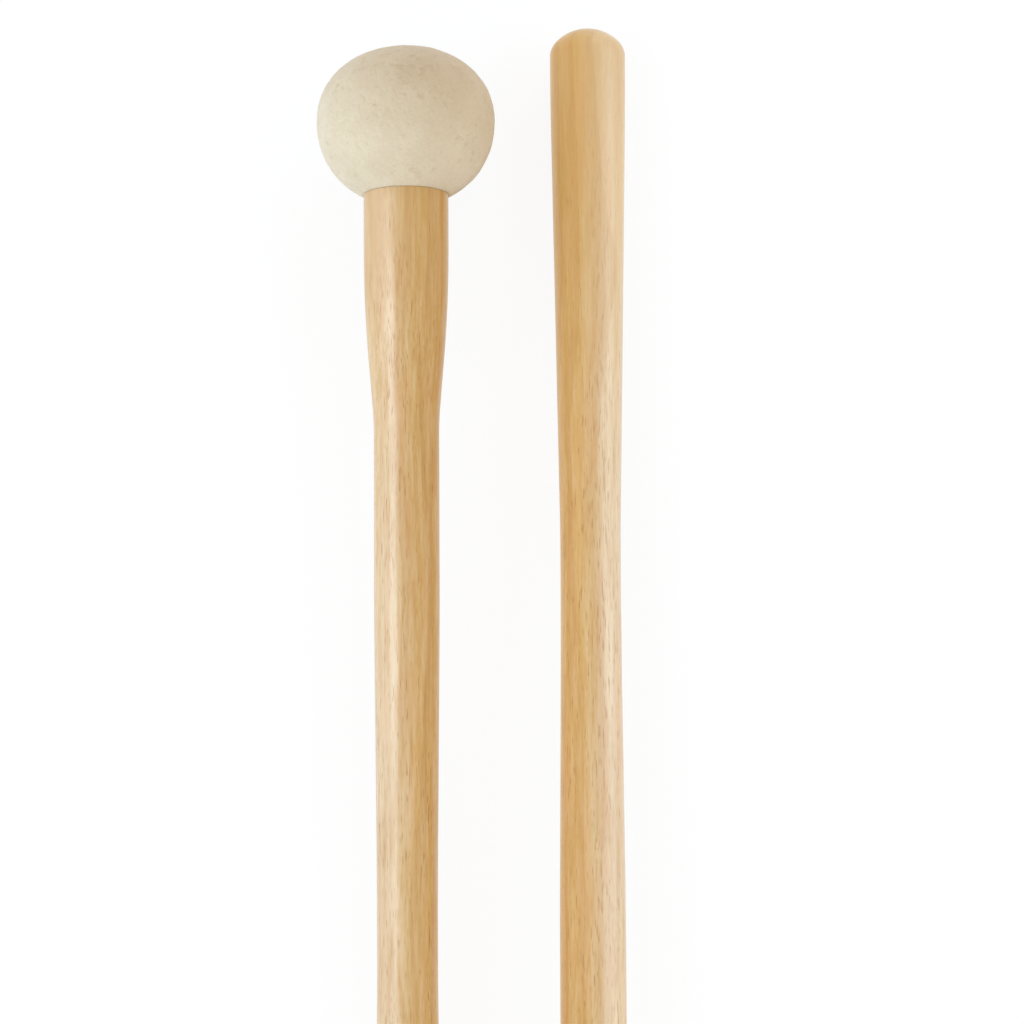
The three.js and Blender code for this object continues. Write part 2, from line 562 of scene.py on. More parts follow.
def shape_tree(name, entries):
    """A Geometry Nodes tree with named inputs, and what each of them gives."""
    tree = bpy.data.node_groups.new(name, "GeometryNodeTree")
    for label, kind in entries.items():
        tree.interface.new_socket(label, in_out="INPUT", socket_type=kind)
    tree.interface.new_socket("Shape", in_out="OUTPUT", socket_type=SHAPE)
    given = tree.nodes.new("NodeGroupInput")
    amounts = {}
    for label, kind in entries.items():
        source = given.outputs[label]
        amounts[label] = Amount(tree, source) if kind in (NUMBER, COUNT) else source
    return tree, amounts


def close_tree(tree, shape):
    """Ends a tree in its output."""
    result = tree.nodes.new("NodeGroupOutput")
    connect(tree, shape, result.inputs[0])
    arrange(tree)
    return tree


def strip_tree(name, names, outline):
    """A tree that turns a strip of faces about the Y axis. The outline gives radius and place of each
    share of it, from the tree's numbers."""
    tree, given = shape_tree(name, {**numbers(*names), "Steps": COUNT, "Flats": COUNT})
    counts = {"Vertices X": given["Steps"] + 1, "Vertices Y": given["Flats"] + 1}
    grid = add_node(tree, "GeometryNodeMeshGrid", {"Size X": 1.0, "Size Y": 1.0, **counts})
    x, y, _ = here(tree)
    turn = (y + 0.5) * math.tau
    radius, place = outline(given, x + 0.5)
    spot = vector(tree, radius * turn.math("COSINE"), place, radius * turn.math("SINE"))
    bent = add_node(tree, "GeometryNodeSetPosition", {"Geometry": grid.outputs["Mesh"], "Position": spot})
    return close_tree(tree, bent.outputs[0])


def make_taper_tree():
    """A turned stretch from one radius to another, with a soft start and a soft end."""

    def outline(given, share):
        start = given["Soft start"].at_least(LEAST_SOFT)
        end = given["Soft end"].at_least(LEAST_SOFT)
        slope = 1.0 / (1.0 - (start + end) * 0.5)
        before = (start - share).at_least(0.0)
        after = (share - (1.0 - end)).at_least(0.0)
        eased = share - start * 0.5 + before * before / (start * 2.0) - after * after / (end * 2.0)
        radius = given["Start radius"] + (given["End radius"] - given["Start radius"]) * eased * slope
        return radius, given["Start place"] + given["Length"] * share

    names = ("Start place", "Length", "Start radius", "End radius", "Soft start", "Soft end")
    return strip_tree("Turned taper", names, outline)


def angle_at(given, share):
    """The angle at a share of the way from a strip's start angle to its end angle."""
    return given["Start angle"] + (given["End angle"] - given["Start angle"]) * share


def make_arc_tree():
    """A turned arc, such as the domed butt and the round edges."""

    def outline(given, share):
        angle = angle_at(given, share)
        radius = given["Centre radius"] + given["Arc radius"] * angle.math("SINE")
        return radius, given["Centre place"] - given["Arc radius"] * angle.math("COSINE")

    names = ("Centre place", "Centre radius", "Arc radius", "Start angle", "End angle")
    return strip_tree("Turned arc", names, outline)


def make_bulge_tree():
    """A turned bulge: a quarter of a squared ellipse, or a part of it."""

    def outline(given, share):
        angle = angle_at(given, share)
        exponent = 2.0 / given["Squareness"]
        radius = given["Widest radius"] * angle.math("COSINE").at_least(0.0) ** exponent
        height = given["Height"] * angle.math("SINE").at_least(0.0) ** exponent
        return radius, given["Widest place"] + height

    names = ("Widest place", "Widest radius", "Height", "Squareness", "Start angle", "End angle")
    return strip_tree("Turned bulge", names, outline)


class Lathe:
    """Joins turned strips along one outline in a tree."""

    def __init__(self, tree, flats):
        self.tree = tree
        self.flats = flats
        self.strips = []

    def cut(self, kind, steps, **sizes):
        """Adds a strip, with so many steps along its outline."""
        made = self.tree.nodes.new("GeometryNodeGroup")
        made.node_tree = kind
        made.label = kind.name
        for name, value in {**sizes, "steps": steps, "flats": self.flats}.items():
            connect(self.tree, value, made.inputs[shown(name)])
        self.strips.append(made.outputs[0])

    def cut_plain(self, taper, *stretches):
        """Adds cylinders, cones and flat rings, each by its place, length, two radii and steps."""
        for place, stretch, start, end, steps in stretches:
            self.cut(
                taper, steps,
                start_place=place, length=stretch, start_radius=start, end_radius=end,
                soft_start=PLAIN_SOFT, soft_end=PLAIN_SOFT,
            )

    def joined(self, first=0):
        """The strips from a given one on, in one shape."""
        join = self.tree.nodes.new("GeometryNodeJoinGeometry")
        for strip in self.strips[first:]:
            self.tree.links.new(strip, join.inputs[0])
        return join.outputs[0]


def sewn_shut(tree, shape):
    """Merges the strips' doubles and closes their seams and poles."""
    merged = add_node(tree, "GeometryNodeMergeByDistance", {"Geometry": shape, "Distance": DOUBLES})
    return merged.outputs[0]


def smoothed(tree, shape, sharp_angle):
    """Smooth shading, with creases where two faces meet at more than an angle."""
    smooth = add_node(tree, "GeometryNodeSetShadeSmooth", {0: shape, "Shade Smooth": True}, domain="FACE")
    bend = add_node(tree, "GeometryNodeInputMeshEdgeAngle")
    crease = Amount(tree, bend.outputs["Unsigned Angle"]).math("GREATER_THAN", sharp_angle)
    creased = add_node(
        tree,
        "GeometryNodeSetShadeSmooth",
        {0: smooth.outputs[0], "Selection": crease, "Shade Smooth": False},
        domain="EDGE",
    )
    return creased.outputs[0]


def finished(tree, shape, material):
    """Ends a piece's tree in Realize Instances and Set Material."""
    real = add_node(tree, "GeometryNodeRealizeInstances", {"Geometry": shape})
    coated = add_node(tree, "GeometryNodeSetMaterial", {"Geometry": real.outputs[0], "Material": material})
    return close_tree(tree, coated.outputs[0])


def make_handle_tree(arc, taper):
    """The whole handle: domed butt, grip, waist, swell, shaft, flare, neck, shoulder and tenon."""
    lengths = [shown(name) for name in HANDLE_LENGTHS]
    shares = [f"{shown(part)} soft {end}" for part in EASED_PARTS for end in ("start", "end")]
    tree, given = shape_tree(
        "Turned handle", {**numbers(*lengths, *shares), "Flats": COUNT, "Finish": FINISH}
    )
    lathe = Lathe(tree, given["Flats"])
    grip, waist, shaft, neck, tenon = (given[f"{shown(part)} diameter"] * 0.5 for part in DIAMETERS)
    dome = given["Dome radius"]
    corner = given["Corner radius"]
    edge = given["Shoulder edge"]
    chamfer = given["Tenon chamfer"]

    corner_out = grip - corner
    corner_angle = (corner_out / (dome - corner)).math("ARCSINE")
    corner_place = dome - (dome - corner) * corner_angle.math("COSINE")
    lathe.cut(
        arc, 18,
        centre_place=dome, centre_radius=0.0, arc_radius=dome, start_angle=0.0, end_angle=corner_angle,
    )
    lathe.cut(
        arc, 12,
        centre_place=corner_place, centre_radius=corner_out, arc_radius=corner,
        start_angle=corner_angle, end_angle=math.pi / 2,
    )

    place = corner_place
    stretches = (
        (given["Grip length"], grip, waist, given["Grip soft start"], given["Grip soft end"], 40),
        (given["Waist length"], waist, waist, PLAIN_SOFT, PLAIN_SOFT, 2),
        (given["Swell length"], waist, shaft, given["Swell soft start"], given["Swell soft end"], 28),
        (given["Shaft length"], shaft, shaft, PLAIN_SOFT, PLAIN_SOFT, 6),
        (given["Flare length"], shaft, neck, given["Flare soft start"], given["Flare soft end"], 36),
        (given["Neck length"] - edge, neck, neck, PLAIN_SOFT, PLAIN_SOFT, 4),
    )
    for stretch, start, end, soft_start, soft_end, steps in stretches:
        lathe.cut(
            taper, steps,
            start_place=place, length=stretch, start_radius=start, end_radius=end,
            soft_start=soft_start, soft_end=soft_end,
        )
        place = place + stretch

    lathe.cut(
        arc, 4,
        centre_place=place, centre_radius=neck - edge, arc_radius=edge,
        start_angle=math.pi / 2, end_angle=math.pi,
    )
    shoulder = place + edge
    tip = shoulder + given["Tenon length"]
    lathe.cut_plain(
        taper,
        (shoulder, 0.0, neck - edge, tenon, 3),
        (shoulder, given["Tenon length"] - chamfer, tenon, tenon, 3),
        (tip - chamfer, chamfer, tenon, tenon - chamfer, 1),
        (tip, 0.0, tenon - chamfer, 0.0, 3),
    )
    shape = smoothed(tree, sewn_shut(tree, lathe.joined()), WOOD_CREASE)
    return finished(tree, shape, given["Finish"])


def felt_pits(tree, spot, scale, seed):
    """Where the felt has small pits, from 0 to 1. They lie closer together in some places."""
    pits = noise(tree, spot, seed + 0.5, scale, 1.0, PIT_ROUGHNESS)
    crowd = noise(tree, spot, seed + 0.9, scale * CROWD_SCALE, 1.0, PIT_ROUGHNESS)
    return between(pits + (crowd - 0.5) * CROWD_WEIGHT, *PIT_MARKS)


def make_head_tree(bulge, taper):
    """The felt ball with its seat and its drilled hole, and the low lumps of pressed felt."""
    tree, given = shape_tree(
        "Felt head",
        {
            **numbers("Head diameter", "Crown height", "Belly height", "Squareness"),
            **numbers("Seat radius", "Seat place", "Bore radius", "Bore end", "Point height"),
            **numbers("Lump depth", "Lump size", "Pit depth", "Pit size", "Seed"),
            "Flats": COUNT,
            "Finish": FINISH,
        },
    )
    lathe = Lathe(tree, given["Flats"])
    radius = given["Head diameter"] * 0.5
    squareness = given["Squareness"]
    seat = given["Seat radius"]
    seat_place = given["Seat place"]
    bore = given["Bore radius"]
    bore_end = given["Bore end"]
    point = given["Point height"]
    equator = seat_place + given["Belly height"]
    seat_depth = (1.0 - (seat / radius) ** squareness) ** (1.0 / squareness)
    seat_angle = (seat_depth ** (squareness * 0.5)).math("ARCSINE")

    lathe.cut_plain(
        taper,
        (bore_end + point, -point, 0.0, bore, 4),
        (bore_end, seat_place - bore_end, bore, bore, 8),
        (seat_place, 0.0, bore, seat, 6),
    )
    outside = len(lathe.strips)
    lathe.cut(
        bulge, 70,
        widest_place=equator, widest_radius=radius, height=-given["Belly height"] / seat_depth,
        squareness=squareness, start_angle=seat_angle, end_angle=0.0,
    )
    lathe.cut(
        bulge, 90,
        widest_place=equator, widest_radius=radius, height=given["Crown height"],
        squareness=squareness, start_angle=0.0, end_angle=math.pi / 2,
    )
    marked = add_node(
        tree,
        "GeometryNodeStoreNamedAttribute",
        {"Geometry": lathe.joined(outside), "Name": "napped", "Value": True},
        data_type="BOOLEAN",
        domain="FACE",
    )
    lathe.strips = [*lathe.strips[:outside], marked.outputs[0]]
    shape = sewn_shut(tree, lathe.joined())

    x, y, z = here(tree)
    out = (x ** 2.0 + z ** 2.0).math("SQRT")
    outside_seat = ((out - seat) * (1.0 / SEAT_FADE)).clamped()
    above_seat = ((y - seat_place) * (1.0 / CROWN_FADE) - CROWN_START / CROWN_FADE).clamped()
    free = outside_seat.at_least(above_seat)
    spot = tree.nodes.new("GeometryNodeInputPosition").outputs[0]
    seed = given["Seed"]
    lumps = noise(tree, spot, seed, 1.0 / given["Lump size"], 3.0, 0.55, normalize=False)
    pits = felt_pits(tree, spot, 1.0 / given["Pit size"], seed)
    rise = (lumps * given["Lump depth"] - pits * given["Pit depth"]) * free
    away = add_node(
        tree,
        "ShaderNodeVectorMath",
        {0: tree.nodes.new("GeometryNodeInputNormal").outputs[0], "Scale": rise},
        operation="SCALE",
    )
    lumpy = add_node(tree, "GeometryNodeSetPosition", {"Geometry": shape, "Offset": away.outputs[0]})
    shape = smoothed(tree, lumpy.outputs[0], FELT_CREASE)
    return finished(tree, shape, given["Finish"])


def make_nap_tree():
    """Short wool fibres that lean over on the felt, each a closed spike with a few faces."""
    tree, given = shape_tree(
        "Felt nap",
        {
            "Felt": SHAPE,
            **numbers("Fibres per square metre", "Length", "Thickness", "Floor gap"),
            "Seed": COUNT,
            "Finish": FINISH,
        },
    )

    def chance(low, high, extra):
        """A number between two for each fibre, with a seed of its own."""
        made = add_node(tree, "FunctionNodeRandomValue", data_type="FLOAT")
        connect(tree, low, pick(made.inputs, "Min"))
        connect(tree, high, pick(made.inputs, "Max"))
        connect(tree, given["Seed"] + extra, pick(made.inputs, "Seed"))
        return Amount(tree, pick(made.outputs, "Value"))

    def turned(rotation, by):
        """A rotation, turned further about its own axes."""
        made = add_node(
            tree,
            "FunctionNodeRotateRotation",
            {"Rotation": rotation, "Rotate By": by},
            rotation_space="LOCAL",
        )
        return made.outputs[0]

    napped = add_node(tree, "GeometryNodeInputNamedAttribute", {"Name": "napped"}, data_type="BOOLEAN")
    spots = add_node(
        tree,
        "GeometryNodeDistributePointsOnFaces",
        {
            "Mesh": given["Felt"],
            "Selection": pick(napped.outputs, "Attribute"),
            "Density": given["Fibres per square metre"],
            "Seed": given["Seed"],
        },
        distribute_method="RANDOM",
    )
    facets = {"Vertices": 3, "Side Segments": 4, "Fill Segments": 1}
    size = {"Radius Top": 0.0, "Radius Bottom": 0.5, "Depth": 1.0}
    spike = add_node(tree, "GeometryNodeMeshCone", {**facets, **size}, fill_type="TRIANGLE_FAN")
    height = here(tree)[2]
    bow = height * height
    curl = vector(tree, x=bow * FIBRE_CURL, z=bow * -FIBRE_DROP)
    curled = add_node(tree, "GeometryNodeSetPosition", {"Geometry": spike.outputs["Mesh"], "Offset": curl})
    spun = turned(spots.outputs["Rotation"], vector(tree, z=chance(0.0, math.tau, 11)))
    leaning = turned(spun, vector(tree, y=chance(*FIBRE_LEANS, 23)))
    reach = given["Length"] * chance(*FIBRE_SHARES, 37)
    planted = add_node(
        tree,
        "GeometryNodeInstanceOnPoints",
        {
            "Points": spots.outputs["Points"],
            "Instance": curled.outputs[0],
            "Rotation": leaning,
            "Scale": vector(tree, given["Thickness"], given["Thickness"], reach),
        },
    )
    low = here(tree)[2].math("LESS_THAN", given["Floor gap"])
    kept = add_node(
        tree,
        "GeometryNodeDeleteGeometry",
        {"Geometry": planted.outputs[0], "Selection": low},
        domain="INSTANCE",
    )
    shape = smoothed(tree, kept.outputs[0], math.pi)
    return finished(tree, shape, given["Finish"])


# Materials


def emptied(block):
    """The tree of a material or a world, without its nodes."""
    block.use_nodes = True
    block.node_tree.nodes.clear()
    return block.node_tree


def new_material(name, number):
    """A mallet's material, with its tree, its surface shader and the mallet's coordinates in it."""
    material = bpy.data.materials.new(f"{name}_{number}")
    tree = emptied(material)
    surface = add_node(tree, "ShaderNodeBsdfPrincipled")
    add_node(tree, "ShaderNodeOutputMaterial", {"Surface": surface.outputs[0]})
    return material, tree, surface, mallet_millimetres(tree, number)


def mallet_millimetres(tree, number):
    """Coordinates of a mallet as it was turned, in millimetres: Y runs from the butt to the head."""
    upright = lying_matrix(number).inverted()
    centred = add_node(
        tree,
        "ShaderNodeMapping",
        {
            "Vector": tree.nodes.new("ShaderNodeTexCoord").outputs["Object"],
            "Location": upright.translation * PER_METRE,
            "Rotation": upright.to_euler(),
            "Scale": (PER_METRE, PER_METRE, PER_METRE),
        },
        vector_type="POINT",
    )
    split = add_node(tree, "ShaderNodeSeparateXYZ", {0: centred.outputs[0]})
    return [Amount(tree, one) for one in split.outputs]


def stretched_noise(tree, spot, across, along, detail, roughness, seed):
    """Noise about 0 with its own scale across and along the grain, per millimetre."""
    x, y, z = spot
    place = vector(tree, x * across, y * along, z * across)
    return noise(tree, place, seed, 1.0, detail, roughness) - 0.5


def layers(tree, spot, seed, table):
    """The noise of each row of a table, which ends in the row's own seed."""
    return [stretched_noise(tree, spot, *row, seed + own) for *row, own in table.values()]


def bent_normal(tree, height, strength, depth):
    """The surface's normal where it rises and sinks by a height, with its depth in metres."""
    made = add_node(tree, "ShaderNodeBump", {"Strength": strength, "Distance": depth, "Height": height})
    return made.outputs[0]


def blended(tree, share, first, second):
    """A colour between two others."""
    made = tree.nodes.new("ShaderNodeMix")
    made.data_type = "RGBA"
    made.clamp_factor = True
    connect(tree, share, made.inputs["Factor"])
    for name, value in (("A", first), ("B", second)):
        entry = next(one for one in made.inputs if one.name == name and one.type == "RGBA")
        if not isinstance(value, bpy.types.NodeSocket):
            value = (*value, 1.0)
        connect(tree, value, entry)
    return next(one for one in made.outputs if one.type == "RGBA")


def dress(tree, surface, sockets):
    """Sets what goes into the shader's sockets."""
    for name, value in sockets.items():
        connect(tree, value, surface.inputs[name])
    arrange(tree)


def make_wood(looks, number):
    """Pale hardwood under satin lacquer: rings round an off-centre pith, long grain and pores, with
    painted sheen on the outer side and the middle of the handle, and painted shade on the inner side.
    """
    material, tree, surface, spot = new_material("lacquered_wood", number)
    x, y, z = spot
    wander, bands, streaks, fibres, flecks, clouds, crowd, dashes = layers(
        tree, spot, WOOD_SEED * number, GRAIN
    )

    pith_x = x - looks.pith_across * PER_METRE
    pith_z = z + looks.pith_below * PER_METRE
    from_pith = (pith_x * pith_x + pith_z * pith_z).math("SQRT") + wander * (looks.ring_wander * PER_METRE)
    ring = (from_pith / (looks.ring_spacing * PER_METRE)).math("FRACT")
    late = between(ring, 0.3, 0.95) * until(ring, 0.94, 1.0)
    lively = (between(y, *LIVELIER) * 0.75 + 0.25) * (1.0 - between(y, *QUIETER) * 0.4)
    strip = between(x, *STRIP_START) * until(x, *STRIP_END)
    pore = between(dashes + crowd * 0.2 + strip * 0.04, 0.12, 0.24) * lively

    # Painted sheen along the middle of the handle, with random clouds in it
    sheen_faded = between(y, *SHEEN_IN) * until(y, *SHEEN_OUT) + clouds * 0.6
    sapwood_with_painted_light = blended(tree, sheen_faded, looks.pale, looks.sheen_faded)
    heartwood_with_painted_light = blended(tree, sheen_faded, looks.deep, looks.sheen_golden)
    # Painted light across the handle: sheen on the outer side, shade on the inner side, plus the grain's
    # own tone
    depth = between(x, *SHEEN_TO_SHADE_SIDES) + bands * 0.9 + streaks * lively * 1.1 + fibres * 0.3
    wood = blended(tree, depth.clamped(), sapwood_with_painted_light, heartwood_with_painted_light)
    streaking = lively * looks.streak_strength
    flecking = lively * looks.fleck_strength
    coats = (
        ((streaks * 4.5).clamped() * streaking, looks.ring),
        ((streaks * -4.5).clamped() * streaking, looks.bright),
        ((flecks * 3.0).clamped() * flecking, looks.ring),
        ((flecks * -3.0).clamped() * flecking, looks.bright),
        ((clouds * 2.0).clamped() * looks.blush_strength, looks.blush),
        (late * looks.ring_strength, looks.ring),
        (pore * looks.pore_strength, looks.pore),
    )
    for share, tint in coats:
        wood = blended(tree, share, wood, tint)

    grain = streaks * 0.6 + fibres * 0.35 - pore * 0.25
    levelled = streaks * 0.6 - pore * 0.35
    dress(
        tree,
        surface,
        {
            "Base Color": wood,
            "Roughness": fibres * 0.16 + pore * 0.12 + 0.44,
            "Normal": bent_normal(tree, grain, strength=0.5, depth=looks.grain_depth),
            "Coat Normal": bent_normal(tree, levelled, strength=0.12, depth=looks.grain_depth),
            "Coat Weight": looks.lacquer_weight,
            "Coat Roughness": looks.lacquer_roughness,
            "Coat IOR": 1.5,
            "Specular IOR Level": 0.05,
        },
    )
    return material


def make_felt(looks, number):
    """Hard pressed wool felt: soft patches, a few specks, painted shade in its small pits, a fine matted
    surface and a soft sheen.
    """
    material, tree, surface, spot = new_material("pressed_felt", number)
    patches, matting, wool, bits = layers(tree, spot, FELT_SEED * number, WOOL)
    pit_scale = MILLIMETRE / settings().head.pit_size
    pits = felt_pits(tree, vector(tree, *spot), pit_scale, LUMP_SEED * number)

    # Painted shade: the felt's small pits are darker in colour
    tone_and_pit_shade = patches * 1.3 + matting + wool * 0.5 + pits * 0.5 + 0.3
    felt = blended(tree, tone_and_pit_shade.clamped(), looks.pale, looks.shade)
    felt = blended(tree, between(bits, 0.24, 0.32) * looks.speck_strength, felt, looks.speck)
    matted = matting * 0.65 + wool * 0.35
    dress(
        tree,
        surface,
        {
            "Base Color": felt,
            "Roughness": wool * 0.1 + 0.93,
            "Normal": bent_normal(tree, matted, strength=0.5, depth=looks.matting_depth),
            "Sheen Weight": looks.sheen,
            "Sheen Roughness": 0.6,
            "Specular IOR Level": 0.2,
        },
    )
    return material


def make_nap_finish(looks, number):
    """Single wool fibres, each a little paler or deeper than its neighbours."""
    material, tree, surface, spot = new_material("wool_nap", number)
    patches = stretched_noise(tree, spot, 0.6, 0.6, 2.0, 0.6, NAP_SEED * number)
    dress(
        tree,
        surface,
        {
            "Base Color": blended(tree, between(patches, -0.2, 0.2), looks.pale, looks.shade),
            "Roughness": patches * 0.1 + 0.93,
            "Sheen Weight": looks.sheen,
            "Specular IOR Level": 0.2,
        },
    )
    return material


def make_glue(looks, number):
    """Set wood glue: amber, with soft clouds, small bubbles and a slight gloss."""
    material, tree, surface, spot = new_material("dried_glue", number)
    clouds = stretched_noise(tree, spot, 0.4, 0.25, 3.0, 0.6, GLUE_CLOUD_SEED * number)
    dots = stretched_noise(tree, spot, 2.5, 2.5, 1.0, 0.3, GLUE_BUBBLE_SEED * number)
    bubbles = between(dots, 0.18, 0.26)
    pale = [min(1.0, value * 1.25) for value in looks.glue]
    deep = [value * 0.7 for value in looks.glue]
    amber = blended(tree, between(clouds, -0.2, 0.2), pale, deep)
    uneven = clouds - bubbles * 0.6
    dress(
        tree,
        surface,
        {
            "Base Color": blended(tree, bubbles * 0.3, amber, looks.pale),
            "Roughness": clouds * 0.2 + 0.42,
            "Normal": bent_normal(tree, uneven, strength=0.3, depth=looks.glue_depth),
        },
    )
    return material


# Making and placing pieces


def settings():
    """The pair's settings."""
    return bpy.context.scene.mallets


def lying_matrix(number):
    """Where a mallet lies. The second one is the first turned half round the pair's middle."""
    lying = settings().lying
    place = Vector((-lying.spacing / 2, -lying.butt_back, lying.rest_height))
    matrix = Matrix.Translation(place) @ Matrix.Rotation(lying.rest_angle, 4, "X")
    return HALF_TURN @ matrix if number == 2 else matrix


def grown(name, tree, entries, start=None, matrix=None):
    """A piece from a Geometry Nodes tree, as a plain mesh at its place."""
    mesh = start.copy() if start else bpy.data.meshes.new(name)
    piece = bpy.data.objects.new(name, mesh)
    bpy.context.scene.collection.objects.link(piece)
    modifier = piece.modifiers.new("Shape", "NODES")
    modifier.node_group = tree
    for item in tree.interface.items_tree:
        if item.in_out == "INPUT" and item.name in entries:
            modifier[item.identifier] = entries[item.name]
    piece.update_tag()
    ready = piece.evaluated_get(bpy.context.evaluated_depsgraph_get())
    shape = bpy.data.meshes.new_from_object(ready)
    piece.modifiers.remove(modifier)
    piece.data = shape
    shape.name = name
    if not shape.polygons:
        raise RuntimeError(f"{name}: its tree made no faces")
    if matrix is not None:
        shape.transform(matrix)
        shape.update()
    return piece


def coat_node(name, material):
    """Gives a CAD node its finish."""
    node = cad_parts[name]
    if not node.material_slots:
        node.data.materials.append(material)
    for one in node.material_slots:
        one.material = material


def seat_and_bore(handle, head):
    """The sizes that the felt head shares with the handle's tenon."""
    grip = handle.grip_diameter / 2
    between_centres = handle.dome_radius - handle.corner_radius
    corner_angle = math.asin((grip - handle.corner_radius) / between_centres)
    corner_place = handle.dome_radius - between_centres * math.cos(corner_angle)
    shoulder = corner_place + sum(getattr(handle, f"{part}_length") for part in STRETCHES)
    glue_outside = handle.tenon_diameter / 2 + head.fit_clearance + head.glue_thickness
    bore = glue_outside + head.fit_clearance
    bore_end = shoulder + handle.tenon_length + 2 * head.fit_clearance + head.glue_thickness
    return {
        "Seat radius": handle.neck_diameter / 2 + head.seat_overhang,
        "Seat place": shoulder + head.seat_gap,
        "Bore radius": bore,
        "Bore end": bore_end,
        "Point height": bore / math.tan(head.drill_point / 2),
    }


class MALLET_OT_handles(bpy.types.Operator):
    """Turn the two wooden handles, from the domed butt to the tenon"""

    bl_idname = "mallet.handles"
    bl_label = "Turn the handles"

    def execute(self, context):
        sizes = settings().handle
        tree = make_handle_tree(make_arc_tree(), make_taper_tree())
        entries = {shown(name): getattr(sizes, name) for name in HANDLE_LENGTHS}
        for part in EASED_PARTS:
            start, end = getattr(sizes, f"{part}_soft")
            entries[f"{shown(part)} soft start"] = start
            entries[f"{shown(part)} soft end"] = end
        entries["Flats"] = sizes.flats
        for number in MALLETS:
            entries["Finish"] = make_wood(settings().wood, number)
            piece = grown(f"handle_{number}", tree, entries, matrix=lying_matrix(number))
            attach(piece, f"mallet_{number}")
            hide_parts(f"mallet_{number}_handle")
        return {"FINISHED"}


class MALLET_OT_felt_heads(bpy.types.Operator):
    """Press the two felt heads, with the seat and the hole for the tenon"""

    bl_idname = "mallet.felt_heads"
    bl_label = "Press the felt heads"

    def execute(self, context):
        sizes = settings().head
        tree = make_head_tree(make_bulge_tree(), make_taper_tree())
        names = ("head_diameter", "crown_height", "squareness")
        names += ("lump_depth", "lump_size", "pit_depth", "pit_size", "flats")
        entries = {
            **{shown(name): getattr(sizes, name) for name in names},
            "Belly height": sizes.belly_height + sizes.fit_clearance - sizes.seat_gap,
            **seat_and_bore(settings().handle, sizes),
        }
        for number in MALLETS:
            entries["Finish"] = make_felt(settings().felt, number)
            entries["Seed"] = LUMP_SEED * number
            piece = grown(f"felt_head_{number}", tree, entries, matrix=lying_matrix(number))
            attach(piece, f"mallet_{number}")
            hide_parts(f"mallet_{number}_felt_head")
        return {"FINISHED"}


class MALLET_OT_felt_nap(bpy.types.Operator):
    """Raise the stray wool fibres on the felt heads"""

    bl_idname = "mallet.felt_nap"
    bl_label = "Raise the felt's nap"

    def execute(self, context):
        sizes = settings().head
        tree = make_nap_tree()
        for number in MALLETS:
            felt = bpy.data.objects[f"felt_head_{number}"].data
            entries = {
                "Fibres per square metre": sizes.nap_per_square * SQUARE_CENTIMETRES,
                "Length": sizes.nap_length,
                "Thickness": sizes.nap_thickness,
                "Floor gap": sizes.nap_length,
                "Seed": FIBRE_SEED + number,
                "Finish": make_nap_finish(settings().felt, number),
            }
            piece = grown(f"felt_nap_{number}", tree, entries, start=felt)
            felt.attributes.remove(felt.attributes["napped"])
            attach(piece, f"mallet_{number}")
        return {"FINISHED"}


class MALLET_OT_glue(bpy.types.Operator):
    """Give the glue round the tenons its finish"""

    bl_idname = "mallet.glue"
    bl_label = "Finish the glue"

    def execute(self, context):
        for number in MALLETS:
            coat_node(f"mallet_{number}_glue_bond", make_glue(settings().felt, number))
        return {"FINISHED"}


def white_for_sight(tree):
    """1 for rays that show the background, straight or in gloss or glass, and 0 for rays that light."""
    path = tree.nodes.new("ShaderNodeLightPath").outputs
    seen = Amount(tree, path["Is Camera Ray"]).at_least(path["Is Glossy Ray"])
    return seen.at_least(path["Is Transmission Ray"])


def end_in_mix(tree, share, first, second, output):
    """Ends a tree in its output, with one shader's share of another."""
    mixed = add_node(tree, "ShaderNodeMixShader", {0: share, 1: first.outputs[0], 2: second.outputs[0]})
    add_node(tree, output, {"Surface": mixed.outputs[0]})
    arrange(tree)


def painted(tree, shader, tint, **entries):
    """A shader of one colour."""
    return add_node(tree, shader, {"Color": (*tint, 1.0), **entries})


